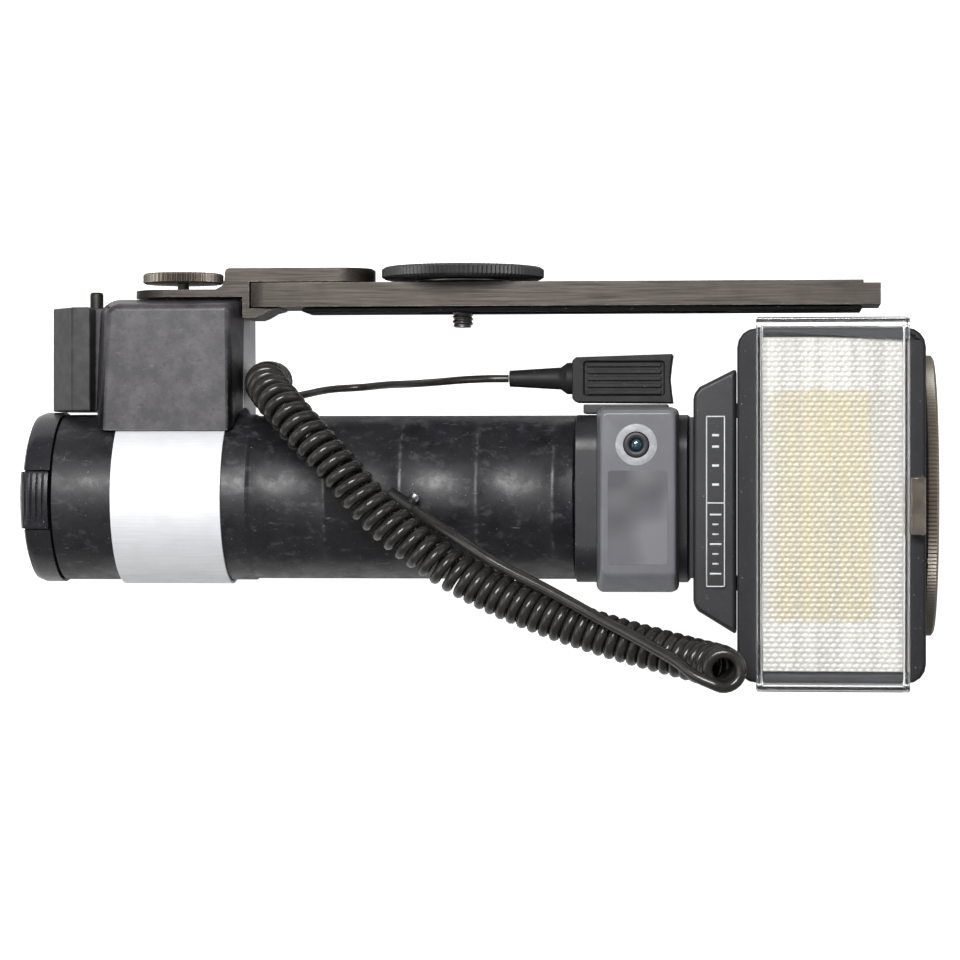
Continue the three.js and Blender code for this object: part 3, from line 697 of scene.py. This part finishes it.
def dress(obj, look, edge=0.0):
    """A material, rounded edges and smooth shading, for a CAD node or a piece."""
    obj.data.materials.clear()
    obj.data.materials.append(LOOKS[look])
    if obj.data.has_custom_normals:
        obj.data.attributes.remove(obj.data.attributes["custom_normal"])
    smooth(obj.data)
    if "sharp_edge" in obj.data.attributes:
        obj.data.attributes.remove(obj.data.attributes["sharp_edge"])
    if "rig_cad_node" in obj:
        weld = obj.modifiers.new("weld", "WELD")
        weld.merge_threshold = 0.002 * MM
        flat = obj.modifiers.new("flat", "DECIMATE")
        flat.decimate_type = "DISSOLVE"
        flat.angle_limit = math.radians(0.5)
    if edge:
        bevel = obj.modifiers.new("edges", "BEVEL")
        bevel.width = edge * MM
        bevel.segments = 3
        bevel.limit_method = "ANGLE"
        bevel.angle_limit = EDGE_ANGLE
    shade = obj.modifiers.new("shade", "WEIGHTED_NORMAL")
    shade.weight = 50
    shade.keep_sharp = True


def solid_object(name, shape):
    """An object from vertices and faces in the gun's frame."""
    verts, faces = shape
    mesh = bpy.data.meshes.new(name)
    mesh.from_pydata([DESIGN @ Vector(v) for v in verts], [], faces)
    tidy = bmesh.new()
    tidy.from_mesh(mesh)
    bmesh.ops.remove_doubles(tidy, verts=tidy.verts, dist=0.001 * MM)
    bmesh.ops.recalc_face_normals(tidy, faces=tidy.faces)
    tidy.to_mesh(mesh)
    tidy.free()
    obj = bpy.data.objects.new(name, mesh)
    bpy.context.scene.collection.objects.link(obj)
    return obj


def piece(name, body, look, shape, replaces=(), edge=0.0, flat=False):
    """A new visible piece. flat keeps its edges sharp in the shading."""
    obj = solid_object(name, shape)
    dress(obj, look, edge)
    if flat:
        obj.data.set_sharp_from_angle(angle=EDGE_ANGLE)
    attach(obj, body)
    if replaces:
        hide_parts(*replaces)
    return obj


def paint(obj, name, value):
    """Stores a number on every vertex, from its place in the gun's frame."""
    back = DESIGN.inverted()
    layer = obj.data.attributes.new(name, "FLOAT", "POINT")
    for vertex, item in zip(obj.data.vertices, layer.data):
        item.value = value(back @ vertex.co)


def carve(obj, cutter_shape):
    """Cuts a shape out of a piece's mesh, before its modifiers."""
    cutter = solid_object("cutter", cutter_shape)
    source = bpy.data.objects.new("source", obj.data.copy())
    bpy.context.scene.collection.objects.link(source)
    boolean = source.modifiers.new("cut", "BOOLEAN")
    boolean.operation = "DIFFERENCE"
    boolean.solver = "EXACT"
    boolean.object = cutter
    bpy.context.view_layer.update()
    result = bpy.data.meshes.new_from_object(
        source.evaluated_get(bpy.context.evaluated_depsgraph_get()))
    looks = list(obj.data.materials)
    obj.data = result
    obj.data.materials.clear()
    for look in looks:
        obj.data.materials.append(look)
    smooth(obj.data)
    bpy.data.objects.remove(source)
    bpy.data.objects.remove(cutter)


# ---- cord and its ends ----

CONNECTOR_PLACE = (-15.9, -3.3, 25.3)
CONNECTOR_TILT = math.radians(-34)
CONNECTOR_STUB_X = -1.5
STRAIN_RELIEF = (32.2, 9.5)       # Y and Z of the plug's tapered sleeve


def add_plug():
    body = [(26.2, 26.6), (27.2, 25.6), (53.3, 25.4), (52.9, 28), (52.5, 32), (52.9, 36), (53.3, 38.6),
            (27.2, 37.8), (26.2, 36.8)]
    inset = outline_box(29.4, 51, 27.4, 36.6, 0.8)
    plug = piece("plug_body", "root", "rubber", prism(body, 3.8, 15.2), ["cord_plug"], 0.5)
    carve(plug, prism(inset, 14.5, 16))
    ridges = []
    for i in range(5):
        y = 28.3 + 1.85 * i
        ridges.append(prism(outline_box(30.2, 50.2, y - 0.55, y + 0.55, 0.4), 14.2, 15.2))
    piece("plug_ridges", "root", "rubber", merged(*ridges), (), 0.2)
    taper = [(2.2 + 0.06 * i, 8.9 + i) for i in range(15)]
    profile = [(0, 8.9), *taper, (4.0, 24.2), (4.3, 24.6), (4.3, 26.6), (0, 26.6)]
    relief = piece("plug_relief", "root", "rubber",
                   turned(profile, 32, along_x(*STRAIN_RELIEF)), (), 0.15)
    return [plug, relief]


def add_connector():
    lie = Matrix.Translation(CONNECTOR_PLACE) @ Matrix.Rotation(CONNECTOR_TILT, 4, "Z")

    def lean(place):
        return lambda u, v, h: tuple(lie @ Vector(place(u, v, h)))

    stub = lean(upright(CONNECTOR_STUB_X, 0))
    barrel = [(0, -8), (1.7, -8), (2.1, -7.6), (2.1, -0.6), (1.8, 0), (0, 0)]
    neck = [(0, 0), (1.5, 0), (1.5, 2.2), (1.3, 2.5), (0, 2.5)]
    connector = piece("connector_body", "root", "rubber",
                      merged(turned(barrel, 24, lean(along_x(0, 0))), turned(neck, 20, stub)),
                      ["sync_connector"], 0.1)
    pin = [(0, 2.4), (1.35, 2.4), (1.35, 3.9), (1, 4.2), (0, 4.2)]
    tip = piece("connector_tip", "root", "bright", turned(pin, 20, stub))
    return [connector, tip]


cord.data.materials.append(LOOKS["cord"])
ends = add_plug() + add_connector()


# ---- handle ----

TUBE_R = 22.8
GRIP_R = 22.4
BORE_R = 19.4
TUBE_START = -114.8
GRIP_START = -61.1
GRIP_END = 27
FINGER_PITCH = 20.6
FINGER_DEPTH = 1.7
FINGER_MIDDLE = 9             # degrees round the grip from the side that faces up
RIDGE_RUB_AND_HIGHLIGHT = 0.42             # how far from a ridge's top the rubbing and its painted highlight reach
SPLIT_GAP = 0.15
GRIP_COLUMNS = 96
STATIONS_PER_FINGER = 36


def finger_place(x):
    """Along one finger hollow, from -1 at a ridge to 1 at the next."""
    return ((x - GRIP_START) % FINGER_PITCH) / FINGER_PITCH * 2 - 1


def smoothstep(x, low, high):
    t = min(1, max(0, (x - low) / (high - low)))
    return t * t * (3 - 2 * t)


def finger_reach(degrees):
    """How deep the hollows are round the grip, from 0 at the sides to 1."""
    return smoothstep(62 - abs(degrees - FINGER_MIDDLE), 0, 26)


def grip_radius(x, degrees):
    if x == TUBE_START:
        return TUBE_R - 0.3
    if x < GRIP_START:
        return TUBE_R
    return GRIP_R - FINGER_DEPTH * (1 - finger_place(x) ** 2) * finger_reach(degrees)


def grip_wear(p):
    """Rubbing along the tops of the finger ridges, which also paints a highlight along them."""
    if p.x < GRIP_START + 5 or p.x > GRIP_END - 1:
        return 0
    from_ridge = (1 - abs(finger_place(p.x))) * FINGER_PITCH / 2
    ridge = math.exp(-((from_ridge / RIDGE_RUB_AND_HIGHLIGHT) ** 2))
    return ridge * finger_reach(math.degrees(math.atan2(p.y, p.z)))


def add_grip():
    stations = [TUBE_START, TUBE_START + 0.3, -90, GRIP_START - 0.9, GRIP_START - 0.5]
    x = GRIP_START
    while x < GRIP_END - 0.3:
        stations.append(x)
        x += FINGER_PITCH / STATIONS_PER_FINGER
    stations.append(GRIP_END)
    loops = []
    for x in stations:
        outer = []
        inner = []
        for j in range(GRIP_COLUMNS + 1):
            degrees = -90 + 180 * j / GRIP_COLUMNS
            a = math.radians(degrees)
            r = grip_radius(x, degrees)
            outer.append((x, r * math.sin(a), r * math.cos(a) + SPLIT_GAP))
            inner.append((x, BORE_R * math.sin(a), BORE_R * math.cos(a) + SPLIT_GAP))
        loops.append(outer + inner[::-1])
    grip = piece("grip_front", "root", "grip", loft(loops), ["grip_front_shell"])
    # The 'wear' numbers carry the rubbed ridge tops and their painted highlight.
    paint(grip, "wear", grip_wear)


KNOB_X = -82.4                # the axis of the bracket's clamping knob
KNOB_TEETH = 48
CAMERA_SCREW_X = -4.7
WHEEL_TEETH = 110
THREAD_PITCH = 1.27
TOOTH_STEPS = 6               # faces to each tooth of the knob and the wheel


def teeth(count, depth, radius):
    """Presses teeth into a turned shape outside a radius."""
    def shape(r, _h, a):
        return r - depth * (0.5 - 0.5 * math.cos(a * count)) if r > radius else r
    return shape


def add_clamp():
    """The clamp cover: drafted, with soft front edges, cut round the strap and the knob's screw."""
    foot = [(-106, 18.2), (-65.2, 18.2), (-64.8, 54.4), (-101.2, 54.4), (-104.6, 51.6)]
    face = [(-102.8, 18.2), (-66.2, 18.2), (-66.9, 52.6), (-98.9, 52.6), (-101, 50.6)]
    loops = [raised(foot, 3.8), raised(foot, 5), raised(face, 16.5)]
    cover = piece("clamp_cover_shell", "root", "block", loft(loops), ["clamp_cover"])
    tidy = bmesh.new()
    tidy.from_mesh(cover.data)
    back = DESIGN.inverted()
    chosen = []
    for edge in tidy.edges:
        a, b = (back @ v.co for v in edge.verts)
        front = min(a.z, b.z) > 16
        bottom = max(a.y, b.y) < 18.5
        corner = abs(a.z - b.z) > 1 and min(a.y, b.y) > 50
        if (front and not bottom) or corner:
            chosen.append(edge)
    bmesh.ops.bevel(tidy, geom=chosen, offset=1.9 * MM, segments=5, profile=0.5, affect="EDGES")
    tidy.to_mesh(cover.data)
    tidy.free()
    ring = [(0, -120), (24.6, -120), (24.6, -50), (0, -50)]
    carve(cover, turned(ring, 96, along_x(0, 0)))
    carve(cover, turned([(0, 40), (2.1, 40), (2.1, 60), (0, 60)], 32, upright(KNOB_X, 0)))
    cover.modifiers.clear()
    shade = cover.modifiers.new("shade", "WEIGHTED_NORMAL")
    shade.weight = 50
    cover.data.set_sharp_from_angle(angle=math.radians(40))


def add_bracket_details():
    knob = [(0, 46), (1.6, 46), (1.6, 58.8), (10.5, 58.8), (11.1, 59.2), (11.1, 61.3), (10.5, 61.7),
            (8.6, 61.7), (8.2, 61.3), (0, 61.3)]
    piece("knob_knurled", "bracket_knob", "knurl",
          turned(knob, KNOB_TEETH * TOOTH_STEPS, upright(KNOB_X, 0), teeth(KNOB_TEETH, 0.7, 10)),
          ["bracket_knob"], flat=True)
    wheel = [(3.3, 59.7), (21.4, 59.7), (22.3, 60.3), (22.3, 62.4), (21.4, 63), (18.6, 63), (18.2, 62.6),
             (3, 62.6), (3, 62.2), (3.3, 62.2)]
    piece("wheel_knurled", "camera_screw", "wheel",
          turned(wheel, WHEEL_TEETH * TOOTH_STEPS, upright(CAMERA_SCREW_X, 0), teeth(WHEEL_TEETH, 0.45, 21)),
          ["camera_wheel"], flat=True)
    heights = [46.6 + 0.127 * i for i in range(77)]
    stud = [(0, 46.5), *((2.9, h) for h in heights), (2.9, 61.9), (0, 61.9)]
    piece("stud_threaded", "camera_screw", "steel",
          turned(stud, 40, upright(CAMERA_SCREW_X, 0), thread), ["camera_stud"])


def thread(r, h, a):
    """The stud's radius at a height and an angle, a little thinner at its tip."""
    if r < 1:
        return r
    turn = (h / THREAD_PITCH - a / (2 * math.pi)) % 1
    taper = min(1, (h - 46.4) / 1.2)
    return (2.35 + 0.55 * (1 - abs(2 * turn - 1))) * (0.82 + 0.18 * taper)


# ---- head ----

DIAL_Y = 0.5
DIAL_TEETH = 220
DIAL_TOOTH_STEPS = 4
DIAL_PRINT = (122.15, 122.35)     # X of the printed lines' bottom and top
DIAL_NUMBERS = (1, 2, 3, 4, 6, 8, 11, 16, 22, 32, 45, 64)
NUMBER_SIZE = 3.4
NUMBER_REACH = 23.4
WINDOW = (76.6, 114.4, -45, 41.8)
WINDOW_BACK = 41.6
WINDOW_TOP = 43.8
BEAD_DEPTH = 0.35
BEAD_PITCH = (1.9, 1.3)
BEAD_STEP = 0.3               # between the points that the beads are made of
PLAQUE = (62.5, 67.5, -23.5, 21.6)
PLAQUE_PRINT = (30.6, 30.8)


def bead(x, y):
    """Depth below the tops of staggered rounded beads, as a share."""
    pitch_x, pitch_y = BEAD_PITCH
    row = math.floor(y / pitch_y)
    u = (x / pitch_x + 0.5 * (row % 2)) % 1 - 0.5
    v = (y / pitch_y) % 1 - 0.5
    return min(1, (2 * u) ** 2 * 0.75 + (2 * v) ** 2 * 0.75)


def window_shape():
    """A block with a beaded top: a grid of points, and a flat back under its rim."""
    x0, x1, y0, y1 = WINDOW
    columns = round((x1 - x0) / BEAD_STEP)
    rows = round((y1 - y0) / BEAD_STEP)
    verts = []
    faces = []
    for j in range(rows + 1):
        for i in range(columns + 1):
            x = x0 + (x1 - x0) * i / columns
            y = y0 + (y1 - y0) * j / rows
            inside = 0 < i < columns and 0 < j < rows
            depth = bead(x, y) if inside else 1
            verts.append((x, y, WINDOW_TOP - BEAD_DEPTH * depth))
    for j in range(rows):
        for i in range(columns):
            a = j * (columns + 1) + i
            faces.append((a, a + 1, a + columns + 2, a + columns + 1))
    top = len(verts)
    rim = list(range(columns + 1))
    rim += [j * (columns + 1) + columns for j in range(1, rows + 1)]
    rim += [rows * (columns + 1) + i for i in range(columns - 1, -1, -1)]
    rim += [j * (columns + 1) for j in range(rows - 1, 0, -1)]
    verts += [(verts[i][0], verts[i][1], WINDOW_BACK) for i in rim]
    n = len(rim)
    for k in range(n):
        m = (k + 1) % n
        faces.append((rim[k], rim[m], top + m, top + k))
    faces.append(tuple(top + k for k in range(n)))
    return verts, faces


def groove(p):
    """How deep a point of the window's top lies between the beads, as a share, for the painted shade there.
    """
    if p.z <= 43:
        return 0
    return max(0, min(1, (WINDOW_TOP - p.z) / BEAD_DEPTH))


def add_head_details():
    window = piece("window_beads", "head", "window", window_shape(), ["window_lens"])
    # Painted shade between the beads, from how deep they lie.
    paint(window, "groove", groove)
    ring = [(30.2, 119.8), (37.2, 119.8), (38, 120.4), (38, 122.6), (37.2, 123.2), (36, 123.2),
            (35.6, 122.9), (31.4, 122.9), (31, 123.2), (30.2, 123.2)]
    sides = DIAL_TEETH * DIAL_TOOTH_STEPS
    piece("dial_ribbed", "dial", "dial",
          turned(ring, sides, along_x(DIAL_Y, 0), teeth(DIAL_TEETH, 0.5, 37)), ["dial_ring"], flat=True)
    piece("dial_index", "dial", "print",
          prism(outline_box(31.6, 35.2, -0.35, 0.35), 122.85, 123.1, along_x(DIAL_Y, 0)))
    add_head_seal()
    add_plaque()
    add_dial_lines()
    add_dial_numbers()


def add_head_seal():
    """A thin seal in the joint between the head's two shells, so that no light shows through."""
    outer = outline_box(71.2, 119, -47.5, 43.7, 4.6)
    inner = outline_box(73.2, 117, -45.5, 41.7, 2.6)
    low, high = 11.72, 11.98
    loops = [raised(outer, low), raised(outer, high), raised(inner, high), raised(inner, low)]
    piece("head_seal", "head", "rubber", loft(loops, closed=True))


def add_plaque():
    """A blank plaque with a thin frame, plain bars and ticks."""
    x0, x1, y0, y1 = PLAQUE
    piece("plaque_plate", "head", "body", prism(outline_box(x0, x1, y0, y1, 0.5, 3), 30.3, 30.7),
          ["name_plaque"], 0.08)
    line = 0.3
    y_mid = -1.5
    marks = [(x0, x0 + line, y0, y1), (x1 - line, x1, y0, y1), (x0, x1, y0, y0 + line),
             (x0, x1, y1 - line, y1), (x0, x1, y_mid, y_mid + line)]
    marks += [(64.1, 65.9, y - 0.3, y + 0.3) for y in (3.5, 8.5, 13.5, 16.5)]
    for i in range(7):
        y = -20 + 2.6 * i
        reach = 1.5 if i % 3 == 0 else 0.8
        marks.append((65 - reach, 65 + reach, y - 0.22, y + 0.22))
    shapes = [prism(outline_box(*mark), *PLAQUE_PRINT) for mark in marks]
    piece("plaque_lines", "head", "print", merged(*shapes))


def add_dial_lines():
    """Sixty ticks and two rings on the calculator dial."""
    low, high = DIAL_PRINT
    lines = []
    for i in range(60):
        inner, half = (26, 0.22) if i % 5 == 0 else (27.6, 0.13)
        tick = bar_at(2 * math.pi * i / 60, inner, 29.2, half)
        lines.append(prism(tick, low, high, along_x(DIAL_Y, 0)))
    for r in (12, 20):
        rim = [(r, low), (r + 0.3, low), (r + 0.3, high), (r, high)]
        lines.append(turned(rim, 72, along_x(DIAL_Y, 0)))
    piece("dial_lines", "head", "print", merged(*lines))


def add_dial_numbers():
    """Plain numbers round the calculator dial."""
    for i, number in enumerate(DIAL_NUMBERS):
        a = 2 * math.pi * i / len(DIAL_NUMBERS)
        data = bpy.data.curves.new(f"dial_number_{i + 1}", "FONT")
        data.body = str(number)
        data.size = NUMBER_SIZE * MM
        data.extrude = 0.1 * MM
        data.align_x = "CENTER"
        data.align_y = "CENTER"
        obj = bpy.data.objects.new(f"dial_number_{i + 1}", data)
        bpy.context.scene.collection.objects.link(obj)
        place = Vector((122.25, DIAL_Y + NUMBER_REACH * math.cos(a), NUMBER_REACH * math.sin(a)))
        quarter = math.radians(90)
        obj.matrix_world = (Matrix.Translation(DESIGN @ place) @ TURN @ Matrix.Rotation(a, 4, "X")
                            @ Matrix.Rotation(quarter, 4, "Y") @ Matrix.Rotation(quarter, 4, "Z"))
        data.materials.append(LOOKS["print"])
        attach(obj, "head")


# ---- sensor unit and controls ----

LENS_PLACE = (44.2, 14)
SELECTOR_PLACE = (37, -1.5)
SELECTOR_TEETH = 30
SELECTOR_STOPS = 9


def add_sensor():
    foot = outline_box(33.5, 54.8, -25.1, 24.1, 1.8, 8)
    shoulder = outline_box(33.8, 54.8, -24.2, 24, 1.8, 8)
    brow = outline_box(34.5, 54.7, -21.7, 23.4, 1.7, 8)
    face = outline_box(34.9, 54.4, -20.5, 22.8, 1.5, 8)
    flat = outline_box(35.6, 53.7, -19.7, 22, 1.3, 8)
    inner_face = outline_box(36.4, 53, -19.2, 21.4, 0.8, 8)
    inner_foot = outline_box(35.1, 53.2, -23.2, 22.2, 1, 8)
    loops = [raised(inner_face, 31.4), raised(inner_foot, 23.3), raised(foot, 23.3), raised(foot, 25),
             raised(shoulder, 26.6), raised(brow, 31.6), raised(face, 32.8), raised(flat, 33)]
    cap = piece("sensor_window", "sensor_unit", "frosted", loft(loops), ["sensor_cap"])
    carve(cap, turned([(0, 29), (3.5, 29), (3.5, 36), (0, 36)], 40, facing(*LENS_PLACE)))
    paint(cap, "window", lambda p: 1.0 if p.z > 32.9 else 0.0)
    lens = [(0, 29.4), (1.7, 29.4), (1.7, 32.2), (1.5, 32.6), (0.9, 32.9), (0, 33)]
    piece("sensor_glass", "sensor_unit", "lens", turned(lens, 36, facing(*LENS_PLACE)),
          ["sensor_lens"])
    rim = [(1.7, 29.4), (3.4, 29.4), (3.4, 33.1), (3.1, 33.4), (2.1, 33.4), (1.7, 32.9)]
    piece("sensor_ring", "sensor_unit", "body", turned(rim, 36, facing(*LENS_PLACE)))
    halo = [(3.5, 32.9), (5.6, 32.9), (5.4, 33.12), (3.5, 33.2)]
    piece("sensor_halo", "sensor_unit", "halo", turned(halo, 48, facing(*LENS_PLACE)))
    pane = prism(outline_box(36.7, 52.4, -17.6, 7.2, 0.9), 32.9, 33.06)
    piece("sensor_pane", "sensor_unit", "pane", pane, (), 0.04)


def add_controls():
    knob = [(0, -28.6), (5, -28.6), (5.5, -28.3), (6, -27.8), (6, -25.7), (0, -25.7)]
    piece("selector_knob", "mode_selector", "body",
          turned(knob, SELECTOR_TEETH * TOOTH_STEPS, facing(*SELECTOR_PLACE),
                 teeth(SELECTOR_TEETH, 0.35, 5.2)), ["mode_selector"], flat=True)
    piece("selector_mark", "mode_selector", "print",
          prism(outline_box(36.7, 37.3, -1, 3.2), -28.75, -28.5))
    marks = []
    for i in range(SELECTOR_STOPS):
        angle = math.radians(-45 + 270 * i / (SELECTOR_STOPS - 1))
        bar = bar_at(angle, 7, 8.2, 0.15, SELECTOR_PLACE)
        on_panel = max(x for x, _ in bar) < 44.8 and min(x for x, _ in bar) > 29
        if on_panel:
            marks.append(prism(bar, -25.5, -25.3))
    piece("selector_ticks", "root", "print", merged(*marks))


# ---- what each CAD node that stays shows ----

CAD_LOOKS = {
    "grip": [("grip_rear_shell", 0.15)],
    "cap": [("base_cover", 0.5), ("cover_latch", 0.15), ("dial_scale", 0.2)],
    "body": [("module_housing", 0.9), ("rear_panel", 0.2), ("sensor_base", 0.2), ("neck_column", 0.5),
             ("battery_basket", 0.1), ("plug_socket", 0.3), ("head_chin", 1.2)],
    "head": [("head_front_frame", 1.6), ("head_rear_shell", 0.8)],
    "pad": [("rail_pad", 0.3)],
    "latch": [("latch_body", 0.5)],
    "silver": [("clamp_frame", 0.6), ("power_switch", 0.3), ("test_button", 0.3)],
    "band": [("strap_band", 0.1)],
    "bronze": [("bracket_foot", 0.4), ("bracket_rail", 0.7), ("release_pin", 0.2)],
    "steel": [("clamp_screw", 0.3), ("cover_hinge_pin", 0.1), ("tilt_pin", 0.3), ("foot_screw_1", 0.15),
              ("foot_screw_2", 0.15), ("screw_carriage", 0.15)],
    "clear": [("diffuser", 0.6)],
    "smoke": [("diffuser_catch", 0.5)],
    "mirror": [("reflector", 0)],
    "tube": [("flash_tube", 0)],
    "brass": [("contact_plate", 0), ("transformer", 0.5)],
    "board": [("inverter_board", 0.1), ("trigger_board", 0.1)],
    "cell": [(f"battery_{i}", 0.4) for i in range(1, 7)],
    "can": [("flash_capacitor", 0.3)],
    "red": [("ready_lamp", 0.3)],
}

add_grip()
add_clamp()
add_bracket_details()
add_head_details()
add_sensor()
add_controls()
for kept_look, kept in CAD_LOOKS.items():
    for node_name, rounding in kept:
        dress(nodes[node_name], kept_look, rounding)
